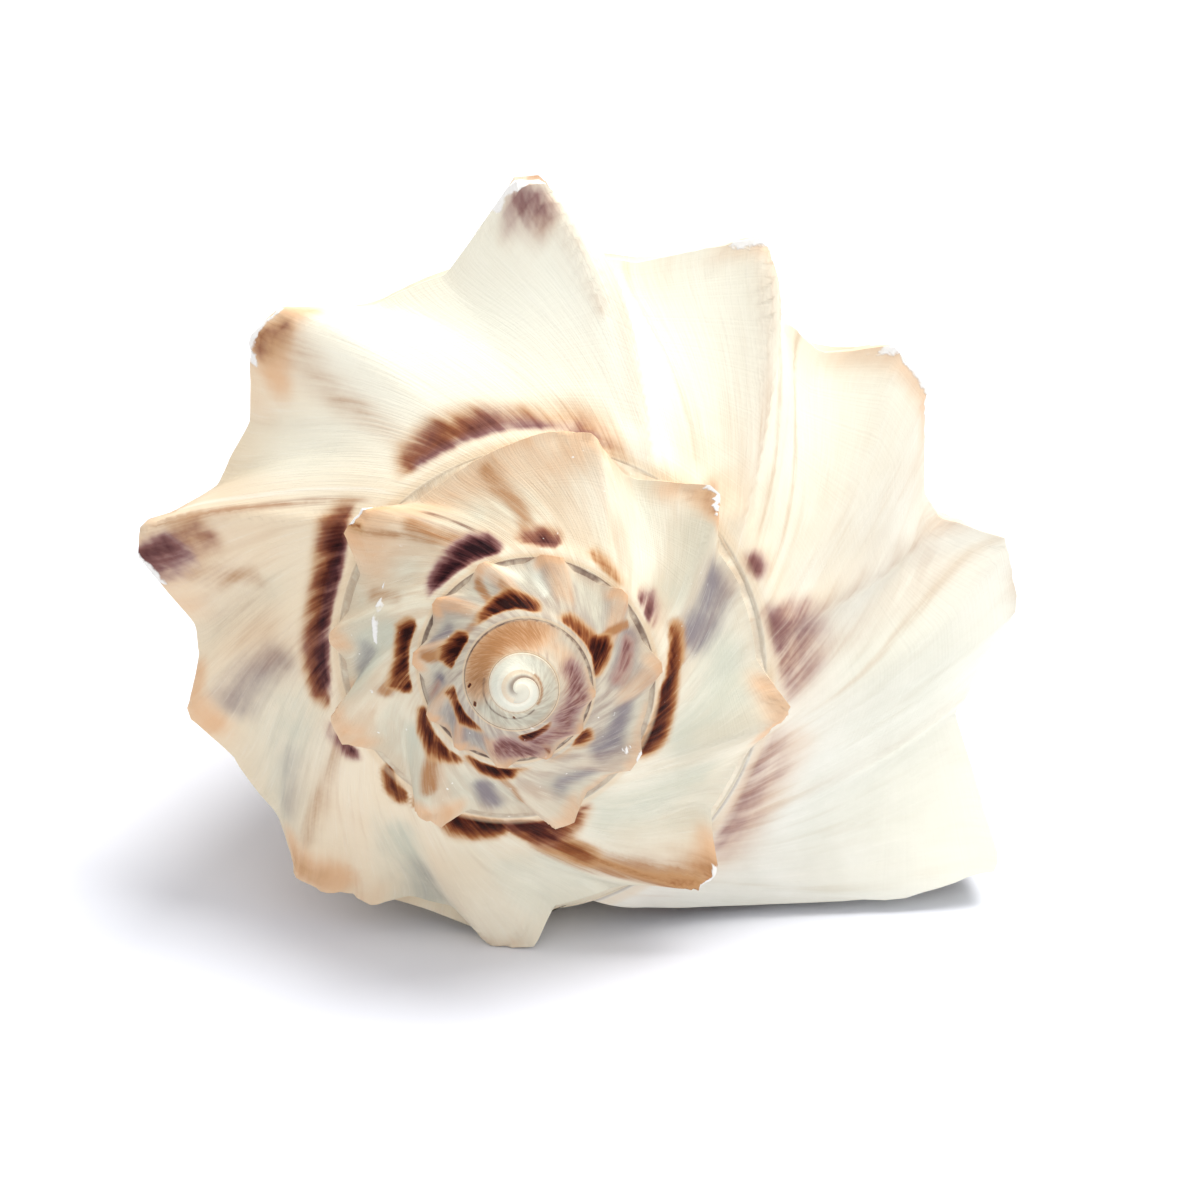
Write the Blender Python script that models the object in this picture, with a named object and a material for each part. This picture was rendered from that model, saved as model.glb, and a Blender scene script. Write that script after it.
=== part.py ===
"""Whelk shell, one closed solid, in metres and +Z up.

The shell grows along a spiral. Its section is drawn once, in units of the shoulder radius, and that radius
grows by the same factor each whorl. Growth angle is in degrees: the lip is near 28 and older parts are negative.
Shell frame while it is drawn: the apex at 0, Z along the axis out of the apex, Y up, growth turning clockwise
as seen from the apex. At the end the shell is laid down with its opening to the floor and its apex towards -Y.
"""

import bmesh
import bpy
import numpy as np
from mathutils import Matrix

# Driving dimensions
LENGTH = 0.174  # apex to the end of the canal, along the axis
SHOULDER = 0.058  # shoulder radius at the angle below
SHOULDER_ANGLE = 21.0
GROWTH = 1.85  # how much the shoulder radius grows in one whorl
WALL = 0.052  # wall thickness, as a share of the shoulder radius
CALLUS = 0.016  # glaze left on the previous whorl inside, as a share of the shoulder radius
LAY_TILT = 11.42  # degrees: how much the apex end is raised when the shell lies on the floor
LAY_ROLL = 1.62  # degrees: turn about the shell's own axis when it lies on the floor

# The section of one whorl, in shoulder radii: (radius, depth below the apex)
SUTURE_BELOW = (0.985, 0.83)  # where the next whorl is joined on
SHOULDER_EDGE = (1.0, 0.75)
RAMP_SAG = 0.028
KNOB_LIFT = 0.35  # how much a knob's tip stands up, as a share of how far it stands out
SIDE_DEPTHS = (0.83, 0.98, 1.2, 1.47, 1.75, 2.02, 2.27, 2.5, 2.75, 3.0)
SIDE_RADII = (0.985, 0.985, 0.955, 0.865, 0.73, 0.575, 0.43, 0.315, 0.235, 0.185)

# Canal: a tube round the axis with a slit along its underside
CANAL_RADIUS = 0.0100
CANAL_NECK = 0.0065  # the pillar's radius up inside the opening
GROOVE_RADIUS = 0.0062
GROOVE_SHIFT = 0.0020  # groove centre at the shell's end, towards the slit
GROOVE_TOP = 0.0150  # groove centre at its upper end, inside the opening
GROOVE_DEPTHS = (0.096, 0.106, 0.118, 0.130, 0.142, 0.154, LENGTH + 0.006)
SLIT_ANGLE = 81.0  # growth angle that the slit faces at the shell's end
SLIT_TOP_ANGLE = 62.0
SLIT_WIDTH = 0.0104

# Lip: the growth angle of its edge on each part of the section
LIP_AT_SUTURE = 75.0
LIP_AT_SHOULDER = 28.0
LIP_AT_SIDE = 32.0
LIP_AT_CANAL = 38.0
INNER_LIP_AT_CANAL = 126.0
LIP_CURVE = 1.35  # how much the edge on top of the whorl sags back from an even sweep

# Knobs on the shoulder: (growth angle, height in shoulder radii, degrees of flat tip before and after, rise, fall)
KNOBS = (
    (28, 0.165, 1.5, 2.5, 15, 8),
    (-5, 0.128, 6, 2.5, 3.5, 14),
    (-34, 0.122, 4.5, 2.5, 5, 13),
    (-60, 0.138, 0.5, 1.5, 13, 8),
    (-90, 0.205, 1, 2.5, 11, 8),
    (-128, 0.138, 3.5, 2.5, 10, 12),
    (-165, 0.162, 2.5, 2.5, 10, 10),
    (-192, 0.058, 1, 1, 9, 9),
    (-229, 0.106, 2, 3.5, 16, 10),
    (-239, 0.065, 1.5, 2, 6, 6),
    (-267, 0.114, 5.5, 3.5, 4.5, 9),
    (-308, 0.125, 3.5, 2, 8, 14),
    (-348, 0.095, 1, 1, 10, 14),
    (-402, 0.120, 1, 2.5, 9, 11),
    (-443, 0.086, 8.5, 9, 5, 5),
    (-499, 0.118, 4, 4, 8, 12),
    (-532, 0.040, 1.5, 1.5, 6, 8),
    (-559, 0.088, 5, 4, 9, 6),
    (-599, 0.045, 5, 4, 7, 8),
    (-645, 0.040, 4, 3, 9, 5),
    (-681, 0.020, 4, 4, 9, 8),
    (-722, 0.020, 2, 2, 10, 9),
    (-758, 0.010, 2, 2, 9, 9),
    (-795, 0.000, 5, 5, 8, 8),
    (-828, 0.020, 2, 2, 9, 9),
    (-858, 0.030, 2, 2, 9, 9),
    (-890, 0.045, 3, 3, 9, 9),
    (-924, 0.005, 2, 2, 9, 9),
    (-949, 0.000, 2, 2, 8, 8),
    (-979, 0.035, 3, 3, 9, 9),
    (-1010, 0.000, 2, 2, 9, 9),
    (-1040, 0.000, 2, 2, 9, 9),
    (-1070, 0.010, 2, 2, 9, 9),
)
VALLEY, LAST_VALLEY = -0.050, -0.012  # height between the knobs, on older whorls and on the last one
KNOB_SWEEP = 26.0  # how far ahead a fold is at the suture, degrees

# Mesh
STEPS = 72  # rows in one whorl
FIRST_ROW = -1690.0
RAMP_SHARES = (0.0, 0.05, 0.16, 0.38, 0.62, 0.84, 1.0)
LOWER_SHARES = (0.0, 0.045, 0.12, 0.22, 0.33, 0.45, 0.58, 0.72, 0.86, 1.0)
CHAMBER_FIRST, CHAMBER_LAST, CHAMBER_STEP = -225.0, 96.0, 6.0


def smooth(value, low, high):
    """0 below low, 1 above high and an even curve between."""
    share = np.clip((value - low) / (high - low), 0.0, 1.0)
    return share * share * (3 - 2 * share)


def radius_at(angle):
    """Shoulder radius, in metres, at a growth angle. The first whorl opens out from almost nothing."""
    opened = 0.1 + 0.9 * smooth(angle, FIRST_ROW, FIRST_ROW + 300)
    return SHOULDER * GROWTH ** ((angle - SHOULDER_ANGLE) / 360) * opened


def knob_wave(angle, soft=0.0):
    """Height of the shoulder line over its even spiral. soft is how many degrees wider the flanks are."""
    valley = VALLEY + (LAST_VALLEY - VALLEY) * smooth(angle, -240, -195) + 0.02 * (1 - smooth(angle, -1150, -1080))
    height = 0.0
    for at, tall, before, after, rise, fall in KNOBS:
        past, width = (at - angle - before, rise) if angle < at else (angle - at - after, fall)
        share = np.clip((past + 0.4 * soft) / (width + 1.4 * soft), 0, 1)
        shape = (1 - share) ** 1.25 * (1 - 0.25 * share * (1 - share))
        height = max(height, (tall - VALLEY if at < -300 else tall - LAST_VALLEY) * shape)
    return valley + height


def place(angle, radius, depth):
    """Point of the shell frame at a growth angle, a distance from the axis and a depth below the apex."""
    turn = np.radians(-angle)
    return (radius * np.cos(turn), radius * np.sin(turn), -depth)


def ramp(angle, share):
    """Point on the top of the whorl: share 0 is the suture and share 1 the shoulder's edge."""
    size = radius_at(angle)
    inner = (SUTURE_BELOW[0] / GROWTH, SUTURE_BELOW[1] / GROWTH)
    radius = inner[0] + (SHOULDER_EDGE[0] - inner[0]) * share
    depth = inner[1] + (SHOULDER_EDGE[1] - inner[1]) * share + RAMP_SAG * np.sin(np.pi * share)
    rim = 0.014 * np.sin(np.pi * np.clip(share / 0.16, 0, 1))
    wave = knob_wave(angle - KNOB_SWEEP * (1 - share), 12 * (1 - share)) * smooth(share, 0.0, 1.0) ** 1.2
    return place(angle, size * (radius + wave), size * (depth - rim - KNOB_LIFT * wave))


def side_radius(angle, depth):
    """Distance from the axis of the whorl's outer side at a depth, both in metres, without knobs."""
    size = radius_at(angle)
    body = size * np.interp(depth / size, SIDE_DEPTHS, SIDE_RADII, right=0.0)
    pillar = CANAL_NECK * smooth(depth, 0.03, 0.06) + (CANAL_RADIUS - CANAL_NECK) * smooth(depth, 0.06, 0.11)
    return (body**6 + pillar**6) ** (1 / 6)


def lower(angle, share):
    """Point below the suture line on the last whorl: share 0 is that line and share 1 the canal's end."""
    size = radius_at(angle)
    top = SUTURE_BELOW[1] * size
    depth = top + (LENGTH - top) * share
    fade = 1 - smooth(depth / size, SHOULDER_EDGE[1], 1.45)
    shown = smooth(angle, LIP_AT_SUTURE - 360, LIP_AT_SUTURE - 330)
    wave = knob_wave(angle) * fade**1.5 * shown
    return place(angle, side_radius(angle, depth) + size * wave, depth)


def lip_angle(column, ramp_columns):
    """Growth angle of the outer lip's edge on one column of the mesh."""
    if column < len(RAMP_SHARES):
        return LIP_AT_SHOULDER + (LIP_AT_SUTURE - LIP_AT_SHOULDER) * (1 - RAMP_SHARES[column]) ** LIP_CURVE
    share = LOWER_SHARES[max(column - ramp_columns, 0)]
    side = LIP_AT_SHOULDER + (LIP_AT_SIDE - LIP_AT_SHOULDER) * smooth(share, 0.0, 0.12)
    return side + (LIP_AT_CANAL - LIP_AT_SIDE) * smooth(share, 0.4, 0.8)


def inner_lip_angle(share):
    """Growth angle of the inner lip's edge, one whorl back from the outer lip."""
    at = LIP_AT_SUTURE + (INNER_LIP_AT_CANAL - LIP_AT_SUTURE) * smooth(share, 0.25, 0.65)
    return at - 360


def build_outside():
    """Vertices and faces of the shell's outside, closed by a plug across its opening."""
    rows = int(round((LIP_AT_SHOULDER - FIRST_ROW) * STEPS / 360))
    first = LIP_AT_SHOULDER - rows * 360 / STEPS
    joint = len(RAMP_SHARES) + 1  # column where the next whorl joins
    last = joint + len(LOWER_SHARES) - 1
    points, index = [], {}

    def add(key, point):
        index[key] = len(points)
        points.append(point)

    for row in range(rows + 1):
        even = first + row * 360 / STEPS
        to_lip = smooth(even, LIP_AT_SHOULDER - 110, LIP_AT_SHOULDER)
        to_inner = smooth(even, LIP_AT_SHOULDER - 470, LIP_AT_SHOULDER - 360)
        to_inner *= 1 - smooth(even, LIP_AT_SHOULDER - 360, LIP_AT_SHOULDER - 230)
        for column in range(joint + 1):
            if column == 0 and row >= STEPS:
                index[(row, 0)] = index[(row - STEPS, joint)]
                continue
            angle = even + to_lip * (lip_angle(column, joint) - LIP_AT_SHOULDER)
            if column < len(RAMP_SHARES):
                add((row, column), ramp(angle, RAMP_SHARES[column]))
            elif column == joint:
                angle += to_inner * (LIP_AT_SUTURE - LIP_AT_SHOULDER)
                add((row, column), lower(angle, 0.0))
            else:
                edge, below = np.array(ramp(angle, 1.0)), np.array(lower(angle, 0.0))
                add((row, column), edge * (0.75, 0.75, 0.475) + below * (0.25, 0.25, 0.525))
        if row < rows - STEPS:
            continue
        for column in range(joint + 1, last + 1):
            share = LOWER_SHARES[column - joint]
            angle = even + to_lip * (lip_angle(column, joint) - LIP_AT_SHOULDER)
            angle += to_inner * (inner_lip_angle(share) + 360 - LIP_AT_SHOULDER)
            add((row, column), lower(angle, share))

    faces = []
    for row in range(rows):
        for column in range(last if row >= rows - STEPS else joint):
            near, far = (row, column), (row + 1, column)
            faces.append([index[key] for key in (near, far, (row + 1, column + 1), (row, column + 1))])

    add("apex", (0.0, 0.0, -0.3 * radius_at(first)))
    ring = [index[(row, 0)] for row in range(STEPS + 1)]
    ring += [index[(0, column)] for column in range(joint - 1, -1, -1)]
    faces += [[index["apex"], far, near] for near, far in zip(ring, ring[1:])]

    inner = rows - STEPS
    add("end", (0.0, 0.0, -LENGTH))
    ring = [index[(row, last)] for row in range(inner, rows + 1)]
    faces += [[index["end"], near, far] for near, far in zip(ring, ring[1:] + ring[:1])]

    turn = joint + 3
    for column in range(turn, last):
        corners = ((rows, column), (inner, column), (inner, column + 1), (rows, column + 1))
        faces.append([index[key] for key in corners])
    ring = [index[(rows, column)] for column in range(turn + 1)]
    ring += [index[(inner, column)] for column in range(turn, joint, -1)]
    hub = np.mean([points[index[(rows, turn - 1)]], points[index[(inner, turn - 1)]]], axis=0)
    add("plug", tuple(hub))
    faces += [[index["plug"], far, near] for near, far in zip(ring, ring[1:] + ring[:1])]
    return points, faces


def chamber_section(angle):
    """Closed loop of (radius, depth) in metres: the hollow in the half plane at a growth angle."""
    size = radius_at(angle)
    narrow = 0.25 + 0.75 * smooth(angle, CHAMBER_FIRST, CHAMBER_FIRST + 60)
    wall = WALL
    bulge = knob_wave(angle) * smooth(angle, -110, -10)
    outer = [(0.60, 0.555), (0.78, 0.67), (0.925 + bulge, 0.775 - 0.2 * bulge), (0.933 + bulge * 0.7, 0.90)]
    for depth in (1.05, 1.25, 1.5, 1.75, 2.0, 2.2, 2.38):
        outer.append((np.interp(depth, SIDE_DEPTHS, SIDE_RADII) - wall * 1.1, depth))
    inner = [(0.19, 2.44), (0.17, 2.1), (0.155, 1.7)]
    for depth in (1.36, 1.12, 0.92, 0.74, 0.62):
        whorl = np.interp(depth * GROWTH, SIDE_DEPTHS, SIDE_RADII) / GROWTH
        inner.append((max(whorl + CALLUS, 0.15), depth))
    loop = np.array(outer + inner)
    centre = loop.mean(axis=0)
    return size * (centre + (loop - centre) * narrow)


def build_chamber():
    """Vertices and faces of the spiral hollow, from past the lip back into the shell."""
    angles = np.arange(CHAMBER_FIRST, CHAMBER_LAST, CHAMBER_STEP)
    loops = [[place(angle, radius, depth) for radius, depth in chamber_section(angle)] for angle in angles]
    return tube(loops)


def build_groove():
    """Vertices and faces of the canal's groove, which runs out at the shell's end and along its underside."""
    loops = []
    half = SLIT_WIDTH / 2
    for depth in GROOVE_DEPTHS:
        share = smooth(depth, GROOVE_DEPTHS[0], GROOVE_DEPTHS[-2])
        centre = GROOVE_TOP + (GROOVE_SHIFT - GROOVE_TOP) * share
        loop = [(0.032, half), (centre + 0.004, half)]
        for turn in np.radians(np.arange(60, 301, 30)):
            loop.append((centre + GROOVE_RADIUS * np.cos(turn), GROOVE_RADIUS * np.sin(turn)))
        loop += [(centre + 0.004, -half), (0.032, -half)]
        turn = np.radians(-(SLIT_TOP_ANGLE + (SLIT_ANGLE - SLIT_TOP_ANGLE) * share))
        along, across = np.array((np.cos(turn), np.sin(turn))), np.array((-np.sin(turn), np.cos(turn)))
        loops.append([(*(x * along + y * across), -depth) for x, y in loop])
    return tube(loops)


def tube(loops):
    """A closed mesh through a row of loops that have the same number of points."""
    count = len(loops[0])
    points = [point for loop in loops for point in loop]
    faces = []
    for ring in range(len(loops) - 1):
        for corner in range(count):
            after = (corner + 1) % count
            near, far = ring * count, (ring + 1) * count
            faces.append([near + corner, near + after, far + after, far + corner])
    faces.append(list(range(count))[::-1])
    faces.append([len(points) - count + corner for corner in range(count)])
    return points, faces


def make_object(name, points, faces, collection):
    """Mesh object with its faces turned outwards."""
    mesh = bpy.data.meshes.new(name)
    mesh.from_pydata([tuple(map(float, point)) for point in points], [], faces)
    work = bmesh.new()
    work.from_mesh(mesh)
    bmesh.ops.triangulate(work, faces=work.faces[:])
    bmesh.ops.recalc_face_normals(work, faces=work.faces[:])
    if work.calc_volume(signed=True) < 0:
        bmesh.ops.reverse_faces(work, faces=work.faces[:])
    work.to_mesh(mesh)
    work.free()
    made = bpy.data.objects.new(name, mesh)
    collection.objects.link(made)
    return made


def make_material():
    """Glazed cream, as the shell's main colour."""
    cream = bpy.data.materials.new("shell_cream")
    cream.use_nodes = True
    look = cream.node_tree.nodes["Principled BSDF"]
    look.inputs["Base Color"].default_value = (0.80, 0.70, 0.56, 1.0)
    look.inputs["Roughness"].default_value = 0.45
    return cream


def main():
    for old in list(bpy.data.objects):
        bpy.data.objects.remove(old, do_unlink=True)
    scene = bpy.context.scene
    kept = bpy.data.collections.new("whelk_shell")
    cutters = bpy.data.collections.new("cutters")
    cutters.hide_render = True
    scene.collection.children.link(kept)
    scene.collection.children.link(cutters)

    shell = make_object("shell", *build_outside(), kept)
    hollows = (make_object("chamber", *build_chamber(), cutters), make_object("groove", *build_groove(), cutters))
    for hollow, solver in zip(hollows, ("EXACT", "MANIFOLD")):
        hollow.hide_render = True
        hollow.display_type = "WIRE"
        cut = shell.modifiers.new(hollow.name, "BOOLEAN")
        cut.operation = "DIFFERENCE"
        cut.solver = solver
        cut.object = hollow

    stand = Matrix.Rotation(np.radians(90 - LAY_TILT), 4, "X") @ Matrix.Rotation(np.radians(LAY_ROLL), 4, "Z")
    for piece in (shell,) + hollows:
        piece.matrix_world = stand
    bpy.context.view_layer.update()
    spots = np.array([stand @ vertex.co for vertex in shell.data.vertices])
    low, high = spots.min(axis=0), spots.max(axis=0)
    shift = Matrix.Translation((-(low[0] + high[0]) / 2, -(low[1] + high[1]) / 2, -low[2]))
    for piece in (shell,) + hollows:
        piece.matrix_world = shift @ stand
    shell.data.materials.append(make_material())
    shell.data.shade_smooth()


main()
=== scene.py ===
"""A knobbed whelk shell lying mouth down, seen from the tip of its spire.

The shell grows along a spiral, so every place on it is named by its growth angle in degrees, near 28 at the lip and
negative on older whorls, and by its place across the whorl: 0 at the upper suture, 1 at the shoulder, 1.2 at the
lower suture line and 3 at the end of the canal. Sizes are in metres, and a section's own sizes in shoulder radii.
The last whorl runs from -332 to 28 degrees, the one before it from -692, and so on up to the tip at -2050.
"""

import bmesh
import bpy
import numpy as np
from mathutils import Matrix, Vector


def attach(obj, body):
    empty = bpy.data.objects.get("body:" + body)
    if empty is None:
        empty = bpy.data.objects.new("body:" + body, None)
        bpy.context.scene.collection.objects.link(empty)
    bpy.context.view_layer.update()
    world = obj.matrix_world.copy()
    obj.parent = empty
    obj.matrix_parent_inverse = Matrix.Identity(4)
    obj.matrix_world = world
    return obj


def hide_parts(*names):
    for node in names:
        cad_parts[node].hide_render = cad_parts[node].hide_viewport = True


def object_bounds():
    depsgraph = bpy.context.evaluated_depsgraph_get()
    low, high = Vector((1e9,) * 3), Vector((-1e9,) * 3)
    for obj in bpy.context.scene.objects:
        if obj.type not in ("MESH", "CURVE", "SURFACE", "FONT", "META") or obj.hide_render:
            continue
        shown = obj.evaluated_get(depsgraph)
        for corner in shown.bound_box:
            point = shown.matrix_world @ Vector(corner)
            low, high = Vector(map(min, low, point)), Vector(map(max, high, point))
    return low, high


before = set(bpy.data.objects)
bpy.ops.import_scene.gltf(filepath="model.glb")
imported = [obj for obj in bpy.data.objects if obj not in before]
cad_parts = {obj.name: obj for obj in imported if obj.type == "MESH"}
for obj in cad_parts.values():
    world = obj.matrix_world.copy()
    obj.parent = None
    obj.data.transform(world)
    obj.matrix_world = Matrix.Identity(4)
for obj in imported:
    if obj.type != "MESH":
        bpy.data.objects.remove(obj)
cad_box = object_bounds()

# The spiral, as the part has it
LENGTH = 0.174
SHOULDER = 0.058
SHOULDER_ANGLE = 21.0
GROWTH = 1.85
FIRST_ANGLE = -2050.0
LIE_TILT, LIE_ROLL = 11.42, 1.62  # degrees: how the shell comes to rest
APEX_AT = Vector((-0.007225, -0.086313, 0.042542))  # where the spire's tip is in the row frame

# Places across the whorl, and how much of that measure its steep wall and its lower side take
JOIN_PLACE, MOUTH_PLACE, END_PLACE, LINING_PLACE = 1.2, 1.5, 3.0, 4.0
WALL_SPAN, SIDE_SPAN = 0.2, 1.8

# The section of one whorl, in shoulder radii: (distance from the axis, depth below the apex)
JOIN = (0.985, 0.83)
SHOULDER_EDGE = (1.0, 0.75)
RAMP_SAG = 0.028
KNOB_LIFT = 0.35  # how much a knob's tip stands up, as a share of how far it stands out
SIDE_DEPTHS = (0.83, 0.98, 1.2, 1.47, 1.75, 2.02, 2.27, 2.5, 2.75, 3.0)
SIDE_RADII = (0.985, 0.985, 0.955, 0.865, 0.73, 0.575, 0.43, 0.315, 0.235, 0.185)
WALL = 0.052
CALLUS = 0.016

# The canal and its groove, in metres below the apex and from the axis
CANAL_RADIUS, CANAL_NECK = 0.01, 0.0065
GROOVE_RADIUS = 0.0062
GROOVE_TOP, GROOVE_SHIFT = 0.015, 0.002  # its centre's distance from the axis where it starts and further down
GROOVE_FROM, GROOVE_SET, GROOVE_PAST_END = 0.096, 0.154, 0.006
SLIT_ANGLE, SLIT_TOP_ANGLE = 81.0, 62.0
SLIT_WIDTH, SLIT_REACH, SLIT_SHOULDER = 0.0104, 0.032, 0.004

# Growth angles of the lip's edge
LIP_AT_SUTURE = 75.0
LIP_AT_SHOULDER = 28.0
LIP_AT_SIDE = 32.0
LIP_AT_CANAL = 38.0
INNER_LIP_AT_CANAL = 126.0
LIP_CURVE = 1.35

# Knobs on the shoulder: (growth angle, height in shoulder radii, degrees of flat tip before and after, rise, fall)
KNOBS = (
    (28, 0.165, 1.5, 2.5, 15, 8), (-5, 0.128, 6, 2.5, 3.5, 14), (-34, 0.122, 4.5, 2.5, 5, 13),
    (-60, 0.138, 0.5, 1.5, 13, 8), (-90, 0.205, 1, 2.5, 11, 8), (-128, 0.138, 3.5, 2.5, 10, 12),
    (-165, 0.162, 2.5, 2.5, 10, 10), (-192, 0.058, 1, 1, 9, 9), (-229, 0.106, 2, 3.5, 16, 10),
    (-239, 0.065, 1.5, 2, 6, 6), (-267, 0.114, 5.5, 3.5, 4.5, 9), (-308, 0.125, 3.5, 2, 8, 14),
    (-348, 0.095, 1, 1, 10, 14), (-402, 0.12, 1, 2.5, 15, 11), (-437, 0.088, 5, 4.5, 34, 12),
    (-499, 0.128, 4, 4, 8, 12), (-532, 0.04, 1.5, 1.5, 6, 8), (-559, 0.112, 5, 4, 9, 6), (-599, 0.105, 5, 4, 7, 8),
    (-645, 0.085, 4, 3, 9, 5), (-681, 0.035, 4, 4, 9, 8), (-722, 0.05, 2, 2, 10, 9), (-758, 0.045, 2, 2, 9, 9),
    (-795, 0.035, 5, 5, 8, 8), (-828, 0.055, 2, 2, 9, 9), (-858, 0.055, 2, 2, 9, 9), (-890, 0.06, 3, 3, 9, 9),
    (-924, 0.04, 2, 2, 9, 9), (-949, 0.035, 2, 2, 8, 8), (-979, 0.055, 3, 3, 9, 9), (-1010, 0.03, 2, 2, 9, 9),
    (-1040, 0.03, 2, 2, 9, 9), (-1070, 0.03, 2, 2, 9, 9),
)
# Places where growth rested: (growth angle at the shoulder, the same at the suture, height, width in degrees)
RIDGES = (
    (-80, -55, 1.0, 2.2), (-55, -26.5, 1.0, 2.4), (-48, -22, 0.4, 1.6), (-13, -3, 0.9, 2.0), (-162, -137, 0.5, 2.0),
    (10, 45, 0.5, 2.0), (-216, -190, 0.35, 2.2), (-292, -262, 0.4, 2.2), (-378, -352, 0.5, 2.4), (-431, -405, 0.4, 2.0),
)
VALLEY, LAST_VALLEY = -0.05, -0.012  # height between the knobs, on older whorls and on the last one
SWEEP = 26.0  # degrees that a knob's fold runs ahead between the shoulder and the suture
LEAN, LEAN_CURVE = 36.0, 1.4  # the same for a growth line, and how curved it is

# Mesh
ROWS_PER_WHORL = 360
TOP_COLUMNS, BEND_COLUMNS, LOWER_COLUMNS = 26, 5, 40
MOUTH_STEP = 10  # columns below the join where the flat face across the mouth turns into a fan
HOLLOW_FROM, HOLLOW_TO, HOLLOW_STEP = -225.0, 96.0, 3.0
HOLLOW_CORNERS = 60
SHARP_ANGLE = 50.0
INSET = 0.00002  # how far the shell stays inside the part's own box

# Camera and lights
LENS, SENSOR = 120.12, 36.0
EYE_AT, EYE_TURN = (-0.0003, -0.518, 0.2278), (68.116, -1.588, 0.321)
LIT_SPOT = (0, 0, 0.03)
FLOOR_HALF = 3


class Wire:
    """A node's output, which Python's operators work on."""

    def __init__(self, bench, socket):
        self.bench, self.socket = bench, socket

    def worked(self, operation, *values):
        return self.bench.node("ShaderNodeMath", {"operation": operation}, *values)

    def __add__(self, other):
        return self.worked("ADD", self, other)

    def __sub__(self, other):
        return self.worked("SUBTRACT", self, other)

    def __rsub__(self, other):
        return self.worked("SUBTRACT", other, self)

    def __mul__(self, other):
        return self.worked("MULTIPLY", self, other)

    def __truediv__(self, other):
        return self.worked("DIVIDE", self, other)

    def __pow__(self, other):
        return self.worked("POWER", self, other)

    __radd__, __rmul__ = __add__, __mul__

    def clamped(self):
        made = self.worked("ADD", self, 0.0)
        made.socket.node.use_clamp = True
        return made


class Bench:
    """Builds one node tree."""

    def __init__(self, tree):
        self.tree = tree

    def node(self, kind, settings=None, *values, out=0, **named):
        """A node of this kind. Its settings come first, then its sockets by order or by name."""
        made = self.tree.nodes.new(kind)
        for name, value in (settings or {}).items():
            if name == "stops":
                ramp = made.color_ramp
                while len(ramp.elements) < len(value):
                    ramp.elements.new(0.5)
                for stop, (at, colour) in zip(ramp.elements, value):
                    stop.position = at
                    stop.color = (*colour, 1.0)
            else:
                setattr(made, name, value)
        places = dict(enumerate(values))
        places.update({name.replace("_", " "): value for name, value in named.items()})
        for place, value in places.items():
            if isinstance(value, Wire):
                self.tree.links.new(value.socket, made.inputs[place])
            elif value is not None:
                made.inputs[place].default_value = value
        return Wire(self, made.outputs[out])

    def smooth(self, value, low, high):
        """0 below low, 1 above high and an even curve between."""
        settings = {"interpolation_type": "SMOOTHSTEP"}
        return self.node("ShaderNodeMapRange", settings, value, low, high, 0.0, 1.0)

    def fade(self, value, low, high):
        """1 below low and 0 above high."""
        return 1.0 - self.smooth(value, low, high)

    def blend(self, share, *colours):
        """Two colours mixed by a share."""
        first, second = (colour if isinstance(colour, Wire) else (*colour, 1.0) for colour in colours)
        settings = {"data_type": "RGBA"}
        return self.node("ShaderNodeMix", settings, share, None, None, None, None, None, first, second, out=2)

    def vector(self, x, y, z):
        return self.node("ShaderNodeCombineXYZ", None, x, y, z)

    def feed(self, shader, **wires):
        """Link wires to a shader's sockets by name."""
        for name, wire in wires.items():
            self.tree.links.new(wire.socket, shader.inputs[name.replace("_", " ")])

    def noise(self, place, scale, detail=3.0, roughness=0.5):
        return self.node("ShaderNodeTexNoise", None, Vector=place, Scale=scale, Detail=detail, Roughness=roughness)


def placed(name, data):
    """A new object at the origin of the scene."""
    made = bpy.data.objects.new(name, data)
    bpy.context.scene.collection.objects.link(made)
    return made


def smooth(value, low, high):
    """The same curve as Bench.smooth, on numbers."""
    share = np.clip((value - low) / (high - low), 0.0, 1.0)
    return share * share * (3 - 2 * share)


def lean(across):
    """How many degrees a growth line is ahead, at a place across the whorl, of where it meets the shoulder."""
    return LEAN * (1 - np.clip(across, 0, 1)) ** LEAN_CURVE


def soft_line(places, knots, values):
    """An even curve through given values, by the slope at each of them."""
    knots, values = np.array(knots, float), np.array(values, float)
    slopes = np.gradient(values, knots)
    spot = np.clip(np.searchsorted(knots, places) - 1, 0, len(knots) - 2)
    gap = knots[spot + 1] - knots[spot]
    share = np.clip((places - knots[spot]) / gap, 0, 1)
    start = (1 + 2 * share) * (1 - share) ** 2 * values[spot] + share * (1 - share) ** 2 * gap * slopes[spot]
    end = share**2 * (3 - 2 * share) * values[spot + 1] + share**2 * (share - 1) * gap * slopes[spot + 1]
    return start + end


def radius_at(angle):
    """Radius of the shoulder, which starts small at the very tip."""
    opened = 0.1 + 0.9 * smooth(angle, FIRST_ANGLE, FIRST_ANGLE + 300)
    return SHOULDER * GROWTH ** ((angle - SHOULDER_ANGLE) / 360) * opened


def knob_wave(angle, soft=0.0):
    """Height of the shoulder line over its even spiral. soft is how many degrees wider the flanks are."""
    valley = VALLEY + (LAST_VALLEY - VALLEY) * smooth(angle, -240, -195) + 0.02 * (1 - smooth(angle, -1150, -1080))
    height = np.zeros_like(angle)
    for at, tall, before, after, rise, fall in KNOBS:
        away = angle - at
        past = np.where(away < 0, -away - before, away - after)
        share = np.clip((past + 0.4 * soft) / (np.where(away < 0, rise, fall) + 1.4 * soft), 0, 1)
        shape = (1 - share) ** 1.25 * (1 - 0.25 * share * (1 - share))
        height = np.maximum(height, (tall - VALLEY if at < -300 else tall - LAST_VALLEY) * shape)
    return valley + height


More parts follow.
